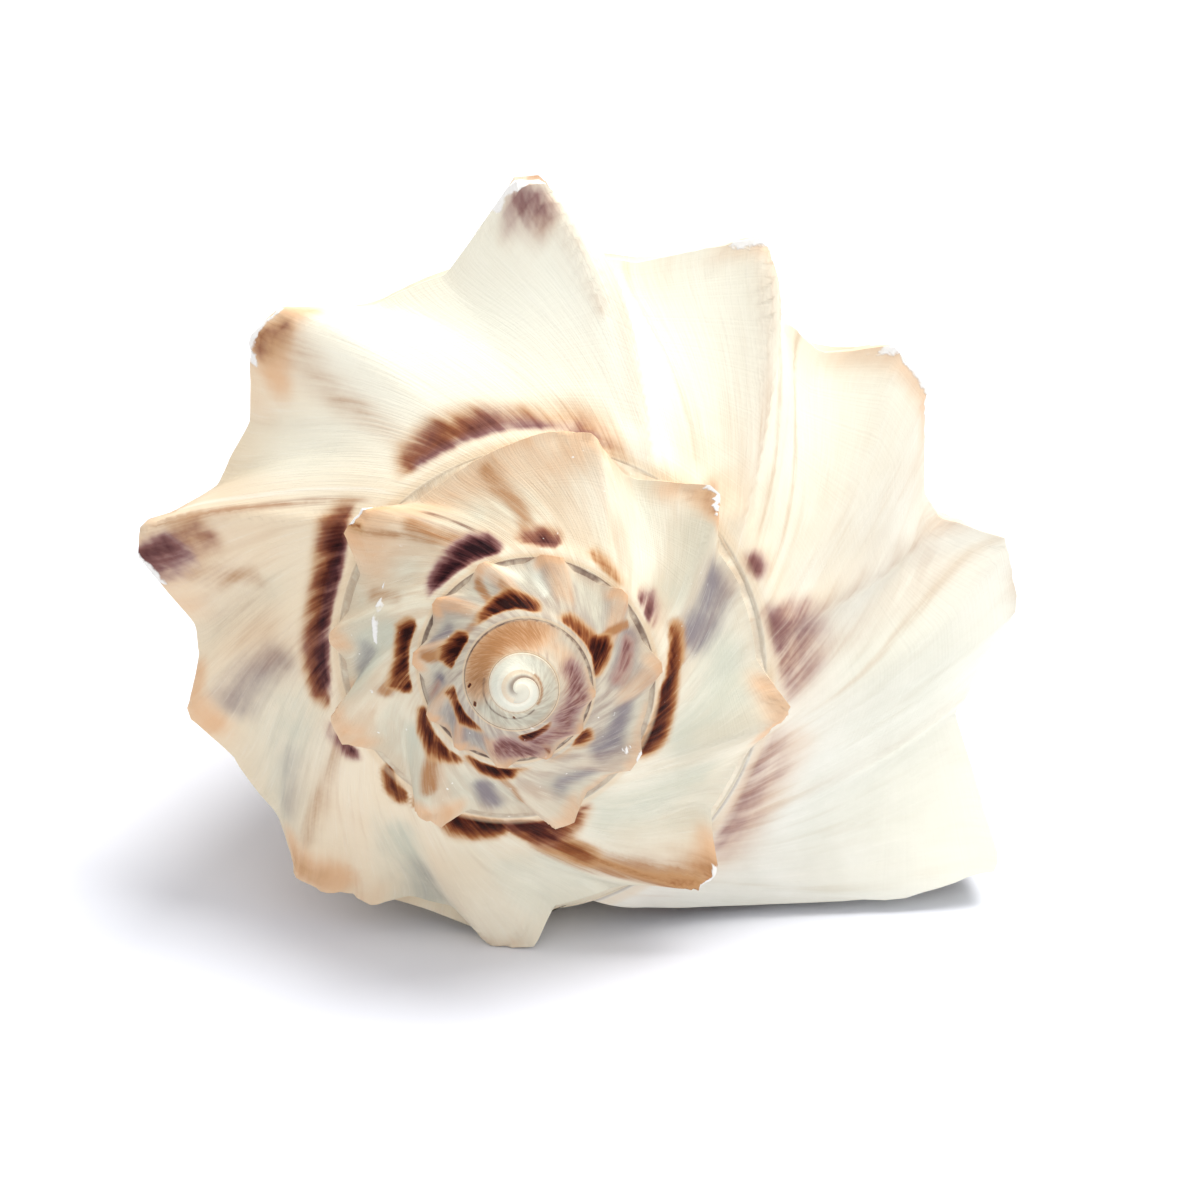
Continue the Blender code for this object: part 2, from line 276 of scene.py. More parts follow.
def below_share(across):
    """How far a place is down from the suture line to the canal's end, from 0 to 1."""
    return np.clip((across - JOIN_PLACE) / SIDE_SPAN, 0, 1)


def around_axis(reach, depth, angle):
    """Points at a distance from the axis, a depth below the apex and a growth angle."""
    turn = np.radians(-angle)
    return np.stack([reach * np.cos(turn), reach * np.sin(turn), -depth], -1)


def top_of_whorl(angle, share):
    """(distance from the axis, depth) in shoulder radii on the ramp between the suture and the shoulder."""
    inner = (JOIN[0] / GROWTH, JOIN[1] / GROWTH)
    reach = inner[0] + (SHOULDER_EDGE[0] - inner[0]) * share
    sink = inner[1] + (SHOULDER_EDGE[1] - inner[1]) * share + RAMP_SAG * np.sin(np.pi * share)
    rim = 0.014 * np.sin(np.pi * np.clip(share / 0.16, 0, 1))
    wave = knob_wave(angle - SWEEP * (1 - share), 12 * (1 - share)) * smooth(share, 0.0, 1.0) ** 1.2
    return reach + wave, sink - rim - KNOB_LIFT * wave


def side_radius(angle, depth):
    """Distance from the axis of the whorl's outer side at a depth, both in metres, without knobs."""
    size = radius_at(angle)
    unit = depth / size
    body = size * np.where(unit > SIDE_DEPTHS[-1], 0.0, soft_line(unit, SIDE_DEPTHS, SIDE_RADII))
    pillar = CANAL_NECK * smooth(depth, 0.03, 0.06) + (CANAL_RADIUS - CANAL_NECK) * smooth(depth, 0.06, 0.11)
    return (np.maximum(body, 0) ** 6 + pillar**6) ** (1 / 6)


def below_join(angle, share):
    """The same pair below the suture line on the last whorl: share 0 is that line, share 1 the canal's end."""
    size = radius_at(angle)
    top = JOIN[1] * size
    depth = top + (LENGTH - top) * share
    fade = (1 - smooth(depth / size, SHOULDER_EDGE[1], 1.45)) ** 1.5
    shown = smooth(angle, LIP_AT_SUTURE - 360, LIP_AT_SUTURE - 330)
    return side_radius(angle, depth) / size + knob_wave(angle) * fade * shown, depth / size


def bend(angle, share):
    """The same pair between the shoulder's edge and the suture line: a steep wall that shows between the knobs."""
    end_reach, end_sink = below_join(angle, np.zeros_like(angle))
    wave = knob_wave(angle)
    start_reach, start_sink = SHOULDER_EDGE[0] + wave, SHOULDER_EDGE[1] - KNOB_LIFT * wave
    way = (1 - share) ** 2, 2 * share * (1 - share), share**2
    reach = start_reach * way[0] + (start_reach + 0.002) * way[1] + end_reach * way[2]
    return reach, start_sink * way[0] + (start_sink * 0.45 + end_sink * 0.55) * way[1] + end_sink * way[2]


def columns():
    """Place across the whorl of each column of the mesh, and the number of the column that the next whorl joins."""
    top = [(number / TOP_COLUMNS) ** 1.15 for number in range(TOP_COLUMNS + 1)]
    edge = [1 + WALL_SPAN * number / (BEND_COLUMNS + 1) for number in range(1, BEND_COLUMNS + 2)]
    below = [JOIN_PLACE + SIDE_SPAN * (number / LOWER_COLUMNS) ** 1.1 for number in range(1, LOWER_COLUMNS + 1)]
    return np.array(top + edge + below), len(top) + len(edge) - 1


def lip_angle(across):
    """Growth angle of the outer lip's edge at each place across the whorl."""
    on_top = LIP_AT_SHOULDER + (LIP_AT_SUTURE - LIP_AT_SHOULDER) * (1 - np.clip(across, 0, 1)) ** LIP_CURVE
    share = below_share(across)
    side = LIP_AT_SHOULDER + (LIP_AT_SIDE - LIP_AT_SHOULDER) * smooth(share, 0.0, 0.12)
    side = side + (LIP_AT_CANAL - LIP_AT_SIDE) * smooth(share, 0.4, 0.8)
    return np.where(across <= 1, on_top, side)


def unit_section(angle, across):
    """(distance from the axis, depth) in shoulder radii at any place of the outside."""
    top = top_of_whorl(angle, np.clip(across, 0, 1))
    edge = bend(angle, np.clip((across - 1) / WALL_SPAN, 0, 1))
    below = below_join(angle, below_share(across))
    return [np.where(across <= 1, one, np.where(across <= JOIN_PLACE, two, three))
            for one, two, three in zip(top, edge, below)]


def outside_strip():
    """The outside as rows along the growth, closed at both ends and across the mouth: growth angle and place of each
    vertex, the faces, the pair (swept growth in whorls, place) of each face's corners, and the mouth's two rims."""
    across, joint = columns()
    last = len(across) - 1
    rows = int(round((LIP_AT_SHOULDER - FIRST_ANGLE) * ROWS_PER_WHORL / 360))
    inner = rows - ROWS_PER_WHORL
    even = (LIP_AT_SHOULDER + np.arange(-rows, 1) * 360 / ROWS_PER_WHORL)[:, None]
    to_lip = smooth(even, LIP_AT_SHOULDER - 110, LIP_AT_SHOULDER)
    to_inner = smooth(even, LIP_AT_SHOULDER - 470, LIP_AT_SHOULDER - 360)
    to_inner = to_inner * (1 - smooth(even, LIP_AT_SHOULDER - 360, LIP_AT_SHOULDER - 230))
    angle = even + to_lip * (lip_angle(across) - LIP_AT_SHOULDER)
    share = below_share(across)
    inner_lip = LIP_AT_SUTURE + (INNER_LIP_AT_CANAL - LIP_AT_SUTURE) * smooth(share, 0.25, 0.65)
    angle += to_inner * (inner_lip - LIP_AT_SHOULDER) * (np.arange(last + 1) >= joint)

    number = np.full((rows + 1, last + 1), -1)
    used = np.zeros_like(number, bool)
    used[:, 1 : joint + 1] = True
    used[:ROWS_PER_WHORL, 0] = True
    used[inner:, joint + 1 :] = True
    number[used] = np.arange(used.sum())
    number[ROWS_PER_WHORL:, 0] = number[: rows + 1 - ROWS_PER_WHORL, joint]
    wide = np.broadcast_to(across, angle.shape)
    growth, places = angle[used], wide[used]

    swept = angle - lean(wide)
    quads, marks = [], []
    for low, high, top in ((0, joint, 0), (joint, last, inner)):
        row, column = np.meshgrid(np.arange(top, rows), np.arange(low, high), indexing="ij")
        around = ((row, column), (row + 1, column), (row + 1, column + 1), (row, column + 1))
        quads.append(np.stack([number[spot] for spot in around], -1).reshape(-1, 4))
        pairs = [np.stack([swept[spot] / 360, wide[spot]], -1) for spot in around]
        marks.append(np.stack(pairs, -2).reshape(-1, 4, 2))
    faces = [tuple(face) for face in np.concatenate(quads).tolist()]
    marks = np.concatenate(marks).reshape(-1, 2).tolist()

    # Three hubs close it: at the tip of the spire, at the end of the canal and in the middle of the mouth
    tip, end, mouth = range(len(growth), len(growth) + 3)
    at = {int(number[spot]): (swept[spot] / 360, wide[spot]) for spot in zip(*np.nonzero(used))}
    at[tip], at[end] = (swept[0, 0] / 360, 0.0), (swept[rows, last] / 360, END_PLACE)
    at[mouth] = (lip_angle(MOUTH_PLACE) / 360, MOUTH_PLACE)
    ring = number[: ROWS_PER_WHORL + 1, 0].tolist() + number[0, joint - 1 :: -1].tolist()
    flat = [(tip, far, near) for near, far in zip(ring, ring[1:])]
    ring = number[inner:, last].tolist()
    flat += [(end, near, far) for near, far in zip(ring, ring[1:] + ring[:1])]
    turn = joint + MOUTH_STEP
    for column in range(turn, last):
        corners = (rows, column), (inner, column), (inner, column + 1), (rows, column + 1)
        flat.append(tuple(int(number[spot]) for spot in corners))
    ring = number[rows, : turn + 1].tolist() + number[inner, turn:joint:-1].tolist()
    flat += [(mouth, far, near) for near, far in zip(ring, ring[1:] + ring[:1])]
    marks += [at[corner] for face in flat for corner in face]
    rims = number[[rows, inner], turn - 1]
    return growth, places, faces + flat, np.array(marks), rims


def ridge_height(growth, across):
    """A step up and a soft fall at each rest line."""
    share = np.clip(across, 0, 1)
    height = np.zeros_like(growth)
    for shoulder, suture, tall, width in RIDGES:
        away = growth - (shoulder + (suture - shoulder) * (1 - share) ** LEAN_CURVE)
        rise = smooth(away, -width * 3.2, 0) * (1 - smooth(away, 0, width))
        height = np.maximum(height, tall * rise)
    return height * smooth(across, 0.03, 0.14) * (1 - smooth(across, 1.1, 1.5))


def growth_tree(material):
    """Geometry nodes: coil the flat section by its growth angle, then raise growth lines, rest ridges and worn pits."""
    tree = bpy.data.node_groups.new("spiral_growth", "GeometryNodeTree")
    tree.interface.new_socket("Geometry", in_out="INPUT", socket_type="NodeSocketGeometry")
    given = {"Shoulder Radius": SHOULDER, "Shoulder Angle": SHOULDER_ANGLE, "Growth Per Whorl": GROWTH,
             "Line Height": 0.00022, "Ridge Height": 0.0011, "Pit Depth": 0.00035, "Seed": 7.0}
    for name in given:
        tree.interface.new_socket(name, in_out="INPUT", socket_type="NodeSocketFloat")
    tree.interface.new_socket("Geometry", in_out="OUTPUT", socket_type="NodeSocketGeometry")
    bench = Bench(tree)
    entry = tree.nodes.new("NodeGroupInput")
    inputs = {socket.name: Wire(bench, socket) for socket in entry.outputs if socket.name}

    def attribute(name):
        return bench.node("GeometryNodeInputNamedAttribute", {"data_type": "FLOAT"}, name)

    growth, reach, sink, opened = (attribute(name) for name in ("growth", "reach", "sink", "opened"))
    across, ridge, worn = (attribute(name) for name in ("across", "ridge", "worn"))
    size = inputs["Growth Per Whorl"] ** ((growth - inputs["Shoulder Angle"]) / 360.0)
    size = size * inputs["Shoulder Radius"] * opened
    turn = growth * (-np.pi / 180)
    coiled = bench.vector(size * reach * turn.worked("COSINE", turn), size * reach * turn.worked("SINE", turn),
                          size * sink * -1.0)
    first = bench.node("GeometryNodeSetPosition", None, Geometry=inputs["Geometry"], Position=coiled)

    swept = growth - LEAN * (1.0 - across.clamped()) ** LEAN_CURVE
    where = bench.vector(swept * 0.42, across * 1.6, inputs["Seed"])
    finer = bench.vector(swept * 1.3, across * 2.4, inputs["Seed"] + 3.0)
    lines = bench.noise(where, 1.0, 2.0, 0.5) * 0.7 + bench.noise(finer, 1.0, 1.0, 0.5) * 0.3
    fade = bench.smooth(across, 0.02, 0.12) * (1.0 - bench.smooth(across, 1.12, JOIN_PLACE) * attribute("joined"))
    pits = bench.noise(bench.node("GeometryNodeInputPosition"), 620.0, 3.0, 0.6)
    relief = inputs["Line Height"] * (lines - 0.5) * 2.0 + inputs["Ridge Height"] * ridge
    relief = relief * (size / SHOULDER) * fade - inputs["Pit Depth"] * worn * bench.smooth(pits, 0.45, 0.62)
    normal = bench.node("GeometryNodeInputNormal")
    offset = bench.node("ShaderNodeVectorMath", {"operation": "SCALE"}, normal, Scale=relief)
    raised = bench.node("GeometryNodeSetPosition", None, Geometry=first, Offset=offset)
    real = bench.node("GeometryNodeRealizeInstances", None, Geometry=raised)
    done = bench.node("GeometryNodeSetMaterial", None, Geometry=real, Material=material)
    bench.feed(tree.nodes.new("NodeGroupOutput"), Geometry=done)
    return tree, given


def plain_copy(thing, name):
    """The object as its modifiers leave it, as a plain mesh object."""
    bpy.context.view_layer.update()
    mesh = bpy.data.meshes.new_from_object(thing.evaluated_get(bpy.context.evaluated_depsgraph_get()))
    made = placed(name, mesh)
    bpy.data.objects.remove(thing, do_unlink=True)
    return made


def write_map(mesh, marks):
    """The mesh's own map: growth in whorls, and place across the whorl."""
    mesh.uv_layers.new(name="whorl_map").data.foreach_set("uv", np.array(marks, np.float32).ravel())


def outside_object(material):
    """The outside as a closed solid, still without its hollow."""
    growth, across, faces, marks, rims = outside_strip()
    reach, sink = unit_section(growth, across)
    size = radius_at(growth)
    opened = size / (SHOULDER * GROWTH ** ((growth - SHOULDER_ANGLE) / 360))
    # The hubs of the tip, the canal's end and the mouth
    middle = np.mean(size[rims][:, None] * around_axis(reach[rims], sink[rims], growth[rims]), axis=0)
    ends = np.array([[0, 0, -0.3 * radius_at(FIRST_ANGLE)], [0, 0, -LENGTH], middle])
    turn = np.degrees(np.arctan2(-ends[:, 1], ends[:, 0]))
    unit = SHOULDER * GROWTH ** ((turn - SHOULDER_ANGLE) / 360)
    worn = np.zeros_like(growth)
    for at, tall, *_ in KNOBS:
        if tall > 0.085:
            away = np.hypot((growth - at) / 7.0, (across - 0.97) / 0.1)
            worn = np.maximum(worn, 1 - smooth(away, 0.5, 1.3))
    lip = smooth(growth, LIP_AT_SHOULDER - 9, LIP_AT_SHOULDER) * (across > 0.6) * (across < 1.6)
    worn = np.maximum(worn, 0.5 * lip)
    none, full = (0.0, 0.0, 0.0), (1.0, 1.0, 1.0)
    fields = {
        "growth": (growth, turn),
        "across": (across, (0.0, END_PLACE, MOUTH_PLACE)),
        "reach": (reach, np.hypot(ends[:, 0], ends[:, 1]) / unit),
        "sink": (sink, -ends[:, 2] / unit),
        "opened": (opened, full),
        "ridge": (ridge_height(growth, across), none),
        "worn": (worn, none),
        "joined": ((growth < LIP_AT_SUTURE - 345).astype(float), full),
    }
    fields = {name: np.append(along, hubs) for name, (along, hubs) in fields.items()}
    mesh = bpy.data.meshes.new("whelk")
    flat = np.stack([fields["reach"], fields["growth"] * 0.001, -fields["sink"]], -1)
    mesh.from_pydata(flat.tolist(), [], faces)
    for name, values in fields.items():
        mesh.attributes.new(name, "FLOAT", "POINT").data.foreach_set("value", values.astype(np.float32))
    write_map(mesh, marks)
    thing = placed("whelk_flat", mesh)
    tree, given = growth_tree(material)
    nodes = thing.modifiers.new("spiral_growth", "NODES")
    nodes.node_group = tree
    for socket in tree.interface.items_tree:
        if socket.in_out == "INPUT" and socket.name in given:
            nodes[socket.identifier] = given[socket.name]
    return plain_copy(thing, "whelk_outside")


def round_loop(points, count):
    """An even closed curve through given points, as count points."""
    points = np.array(points)
    spots = np.linspace(0, len(points), count, endpoint=False)
    at, share = spots.astype(int), (spots % 1)[:, None]
    before, here, after, beyond = (points[(at + step) % len(points)] for step in (-1, 0, 1, 2))
    bent = (2 * here + (after - before) * share + (2 * before - 5 * here + 4 * after - beyond) * share**2
            + (3 * here - before - 3 * after + beyond) * share**3)
    return bent / 2


def hollow_section(angle):
    """Closed loop of (distance from the axis, depth) in metres: the hollow at a growth angle."""
    size = float(radius_at(angle))
    narrow = 0.25 + 0.75 * float(smooth(angle, HOLLOW_FROM, HOLLOW_FROM + 60))
    thick = WALL * (1 - 0.5 * float(smooth(angle, -20, 40)))
    spare = WALL - thick
    bulge = float(knob_wave(np.array([float(angle)]))[0]) * float(smooth(angle, -110, -10))
    outer = [(0.6, 0.555 - 0.4 * spare), (0.78, 0.67 - 0.6 * spare),
             (0.925 + bulge + spare, 0.775 - 0.2 * bulge - 0.4 * spare), (0.933 + bulge * 0.7 + spare, 0.9)]
    for depth in (1.05, 1.25, 1.5, 1.75, 2.0, 2.2, 2.38):
        outer.append((np.interp(depth, SIDE_DEPTHS, SIDE_RADII) - thick * 1.1, depth))
    inner = [(0.19, 2.44), (0.17, 2.1), (0.155, 1.7)]
    for depth in (1.36, 1.12, 0.92, 0.74, 0.62):
        whorl = np.interp(depth * GROWTH, SIDE_DEPTHS, SIDE_RADII) / GROWTH
        inner.append((max(whorl + CALLUS, 0.15), depth))
    loop = np.array(outer + inner)
    centre = loop.mean(axis=0)
    return round_loop(size * (centre + (loop - centre) * narrow), HOLLOW_CORNERS)


def tube_object(name, loops, turns):
    """A closed tube through loops of points. Its faces take the second material, and its map runs along turns."""
    count = len(loops[0])
    faces, marks = [], []
    for ring in range(len(loops) - 1):
        for corner in range(count):
            here, beyond, after = ring * count, (ring + 1) * count, (corner + 1) % count
            faces.append((here + corner, here + after, beyond + after, beyond + corner))
            low, high = LINING_PLACE + corner / count, LINING_PLACE + (corner + 1) / count
            marks += [(turns[ring], low), (turns[ring], high), (turns[ring + 1], high), (turns[ring + 1], low)]
    faces.append(tuple(range(count))[::-1])
    faces.append(tuple(range(len(loops) * count - count, len(loops) * count)))
    marks += [(turns[0], LINING_PLACE)] * count + [(turns[-1], LINING_PLACE)] * count
    mesh = bpy.data.meshes.new(name)
    mesh.from_pydata(np.concatenate(loops).tolist(), [], faces)
    write_map(mesh, marks)
    work = bmesh.new()
    work.from_mesh(mesh)
    bmesh.ops.recalc_face_normals(work, faces=work.faces[:])
    if work.calc_volume(signed=True) < 0:
        bmesh.ops.reverse_faces(work, faces=work.faces[:])
    work.to_mesh(mesh)
    work.free()
    mesh.polygons.foreach_set("material_index", np.ones(len(mesh.polygons), np.int32))
    return placed(name, mesh)


def hollow_object():
    """The room inside the last whorl, as a cutter."""
    angles = np.arange(HOLLOW_FROM, HOLLOW_TO, HOLLOW_STEP)
    return tube_object("hollow", [around_axis(*hollow_section(angle).T, angle) for angle in angles], angles / 360)


def groove_object():
    """The canal's groove as a cutter, which runs out at the shell's end and along its underside."""
    loops, half = [], SLIT_WIDTH / 2
    depths = np.append(np.linspace(GROOVE_FROM, GROOVE_SET, 16), LENGTH + GROOVE_PAST_END)
    for depth in depths:
        share = float(smooth(depth, GROOVE_FROM, GROOVE_SET))
        centre = GROOVE_TOP + (GROOVE_SHIFT - GROOVE_TOP) * share
        turns = np.radians(np.arange(60, 301, 10))
        bottom = np.stack([centre + GROOVE_RADIUS * np.cos(turns), GROOVE_RADIUS * np.sin(turns)], -1)
        side = centre + SLIT_SHOULDER
        loop = np.vstack([[(SLIT_REACH, half), (side, half)], bottom, [(side, -half), (SLIT_REACH, -half)]])
        turn = np.radians(-(SLIT_TOP_ANGLE + (SLIT_ANGLE - SLIT_TOP_ANGLE) * share))
        x = loop[:, 0] * np.cos(turn) - loop[:, 1] * np.sin(turn)
        y = loop[:, 0] * np.sin(turn) + loop[:, 1] * np.cos(turn)
        loops.append(np.stack([x, y, np.full(len(x), -depth)], -1))
    return tube_object("groove", loops, depths * 3)


# The nine kinds of tone, in three colour attributes of three channels each
LAYERS = {
    "marks": ("stain", "purple", "chip"),
    "tones": ("tan", "peach", "cool"),
    "tints": ("lavender", "bright", "shade"),
}
# Marks that are more than the tone of the same name: a stain, and how purple it is
STAINS = {"brown": {"stain": 1}, "dusk": {"stain": 1, "purple": 0.5}, "purple": {"stain": 1, "purple": 1}}
# Bands of stain beside the suture, after the name of their kind: (softness of the outer edge, then the growth angle,
# inner place, outer place and strength at each point along the band)
BANDS = (
    "dusk",
    (0.06, -127, 0.12, 0.17, 0, -120, 0.1, 0.21, 0.58, -110, 0.1, 0.22, 0.62, -100, 0.11, 0.21, 0.6,
     -94, 0.12, 0.18, 0.52, -86, 0.13, 0.19, 0.42, -79, 0.1, 0.2, 0.4, -72, 0.06, 0.16, 0.45, -66, 0.02, 0.08, 0.45,
     -61, 0, 0.03, 0.25, -55, 0, 0.01, 0),
    (0.05, -197, 0.15, 0.2, 0, -191, 0.14, 0.23, 0.7, -183, 0.09, 0.22, 0.85, -175, 0.08, 0.2, 0.8,
     -168, 0.08, 0.19, 0.85, -160, 0.07, 0.19, 0.9, -152, 0.08, 0.21, 0.9, -146, 0.12, 0.23, 0.8,
     -141, 0.16, 0.22, 0.6, -135, 0.18, 0.2, 0),
    (0.06, -299, 0.05, 0.12, 0, -292, 0.06, 0.15, 0.55, -286, 0.1, 0.23, 0.8, -280, 0.08, 0.28, 0.9,
     -275, 0.06, 0.24, 1, -270, 0.04, 0.15, 1, -264, 0.04, 0.07, 0.8, -260, 0.04, 0.05, 0),
    (0.06, -46, 0.08, 0.18, 0, -41, 0.08, 0.17, 0.28, -37, 0.08, 0.14, 0.2, -32, 0.1, 0.12, 0),
    (0.06, -455, 0.18, 0.26, 0, -448, 0.14, 0.24, 0.55, -440, 0.12, 0.24, 0.75, -434, 0.12, 0.2, 0.65,
     -430, 0.15, 0.17, 0),
    "purple",
    (0.02, -124, 0.1, 0.12, 0, -116, 0.1, 0.13, 0.8, -104, 0.11, 0.13, 0.75, -92, 0.12, 0.14, 0.7,
     -82, 0.1, 0.13, 0.6, -72, 0.06, 0.09, 0.6, -64, 0.02, 0.04, 0),
    (0.02, -194, 0.14, 0.17, 0, -186, 0.1, 0.16, 0.9, -172, 0.08, 0.14, 0.9, -156, 0.07, 0.13, 1,
     -148, 0.1, 0.14, 0.8, -142, 0.16, 0.18, 0),
    (0.04, -214, 0.12, 0.18, 0, -209, 0.12, 0.2, 0.75, -203, 0.17, 0.22, 0.6, -196, 0.16, 0.2, 0),
    (0.04, -26, 0.04, 0.1, 0, -22, 0.03, 0.11, 0.5, -19, 0.04, 0.1, 0.6, -15, 0.05, 0.08, 0),
    (0.1, -13, 0.04, 0.2, 0, -9, 0.02, 0.22, 0.38, -3, 0.04, 0.23, 0.48, 3, 0.06, 0.21, 0.48, 8, 0.08, 0.2, 0.36,
     14, 0.1, 0.18, 0.1, 20, 0.1, 0.18, 0),
    (0.1, 15, 0.1, 0.2, 0, 22, 0.05, 0.17, 0.32, 28, 0.03, 0.15, 0.42, 36, 0.03, 0.15, 0.4, 46, 0.08, 0.2, 0.28,
     56, 0.1, 0.2, 0),
    (0.06, -397, 0.14, 0.2, 0, -390, 0.1, 0.2, 0.62, -384, 0.08, 0.17, 0.7, -379, 0.06, 0.12, 0.5,
     -375, 0.06, 0.1, 0),
    (0.06, -503, 0.14, 0.17, 0, -495, 0.13, 0.22, 0.75, -486, 0.12, 0.24, 1, -478, 0.11, 0.26, 1, -470, 0.11, 0.3, 1,
     -463, 0.1, 0.25, 1, -459, 0.1, 0.15, 0.8, -455, 0.11, 0.13, 0),
    "brown",
    (0.03, -233, 0.14, 0.18, 0, -229, 0.08, 0.19, 0.7, -224, 0.05, 0.15, 0.9, -219, 0, 0.06, 0.9, -216, 0, 0.03, 0),
    (0.03, -238, 0, 0.1, 0, -234, 0, 0.13, 0.7, -230, 0, 0.06, 0),
    (0.06, -269, 0.06, 0.1, 0, -263, 0.04, 0.15, 0.9, -255, 0.04, 0.18, 1, -248, 0.05, 0.17, 1, -244, 0.09, 0.13, 0.7,
     -239, 0.1, 0.12, 0),
    (0.05, -379, 0.24, 0.32, 0, -374, 0.2, 0.29, 0.5, -366, 0.16, 0.23, 0.8, -358, 0.11, 0.18, 0.9,
     -350, 0.06, 0.17, 1, -340, 0.04, 0.16, 1, -332, 0.03, 0.16, 1, -326, 0.03, 0.12, 0.9, -320, 0.04, 0.08, 0),
    (0.05, -423, 0.14, 0.2, 0, -418, 0.12, 0.18, 0.45, -412, 0.09, 0.15, 0.6, -406, 0.06, 0.11, 0.6,
     -401, 0.06, 0.1, 0.4, -396, 0.08, 0.1, 0),
    (0.06, -552, 0.16, 0.24, 0, -547, 0.14, 0.32, 1, -542, 0.14, 0.29, 1, -535, 0.14, 0.24, 1, -526, 0.15, 0.27, 1,
     -520, 0.14, 0.28, 1, -515, 0.13, 0.2, 0.8, -511, 0.14, 0.16, 0),
    (0.06, -600, 0.2, 0.28, 0, -592, 0.18, 0.3, 0.75, -585, 0.17, 0.33, 1, -578, 0.14, 0.3, 1, -571, 0.12, 0.26, 1,
     -565, 0.08, 0.18, 1, -560, 0.04, 0.12, 1, -556, 0.05, 0.08, 0),
    (0.06, -641, 0.12, 0.16, 0, -630, 0.12, 0.17, 0.5, -624, 0.13, 0.24, 0.9, -617, 0.13, 0.28, 1,
     -609, 0.12, 0.24, 1, -603, 0.1, 0.17, 0.9, -598, 0.08, 0.13, 0.6, -594, 0.1, 0.12, 0),
    (0.08, -686, 0.12, 0.18, 0, -679, 0.08, 0.23, 0.8, -672, 0.08, 0.2, 0.8, -666, 0.1, 0.14, 0.3,
     -650, 0.1, 0.12, 0.25, -640, 0.1, 0.12, 0),
    (0.08, -783, 0.12, 0.2, 0, -772, 0.11, 0.24, 0.6, -760, 0.1, 0.24, 0.7, -750, 0.1, 0.25, 0.75,
     -745, 0.1, 0.38, 0.9, -738, 0.1, 0.36, 1.1, -731, 0.07, 0.24, 1.1, -725, 0.03, 0.12, 0.8, -719, 0.02, 0.06, 0),
    (0.07, -850, 0.2, 0.3, 0, -838, 0.19, 0.32, 0.7, -830, 0.2, 0.42, 0.95, -820, 0.2, 0.44, 1.1,
     -812, 0.19, 0.4, 1.1, -804, 0.16, 0.33, 1.1, -798, 0.13, 0.27, 1, -790, 0.13, 0.2, 0),
    (0.09, -892, 0.3, 0.4, 0, -886, 0.26, 0.5, 0.9, -878, 0.21, 0.46, 1.1, -870, 0.18, 0.4, 1.1, -862, 0.16, 0.36, 1,
     -855, 0.2, 0.28, 0),
    (0.07, -960, 0.28, 0.38, 0, -946, 0.26, 0.42, 0.6, -935, 0.26, 0.46, 0.8, -925, 0.26, 0.42, 0.95,
     -917, 0.26, 0.4, 0.6, -910, 0.24, 0.42, 0.8, -901, 0.22, 0.3, 0),
    (0.07, -1038, 0.18, 0.28, 0, -1020, 0.16, 0.3, 0.6, -1010, 0.18, 0.35, 0.85, -1002, 0.18, 0.38, 1,
     -994, 0.18, 0.32, 0.8, -987, 0.2, 0.25, 0),
)
# Fine lines along the growth: (growth angle at the shoulder, from and to place, width in degrees, strength, colour)
FINE_LINES = (
    (-163, 0.16, 0.97, 2.0, 0.75, (0.42, 0.2, 0.1)),
    (-159.5, 0.1, 0.98, 1.2, 0.5, (0.97, 0.93, 0.82)),
    (-75, 0.15, 1.05, 1.2, 0.35, (0.6, 0.42, 0.24)),
    (-54, 0.15, 1.1, 1.2, 0.5, (0.56, 0.38, 0.22)),
    (-47.5, 0.1, 1.05, 1.0, 0.5, (0.56, 0.38, 0.22)),
    (-11, 0.3, 1.05, 0.9, 0.35, (0.6, 0.42, 0.26)),
    (-487, 0.24, 0.75, 1.8, 0.85, (0.2, 0.08, 0.05)),
    (-492, 0.3, 0.8, 1.8, 0.6, (0.45, 0.3, 0.22)),
    (-501, 0.4, 1.0, 1.8, 0.8, (0.42, 0.2, 0.08)),
)
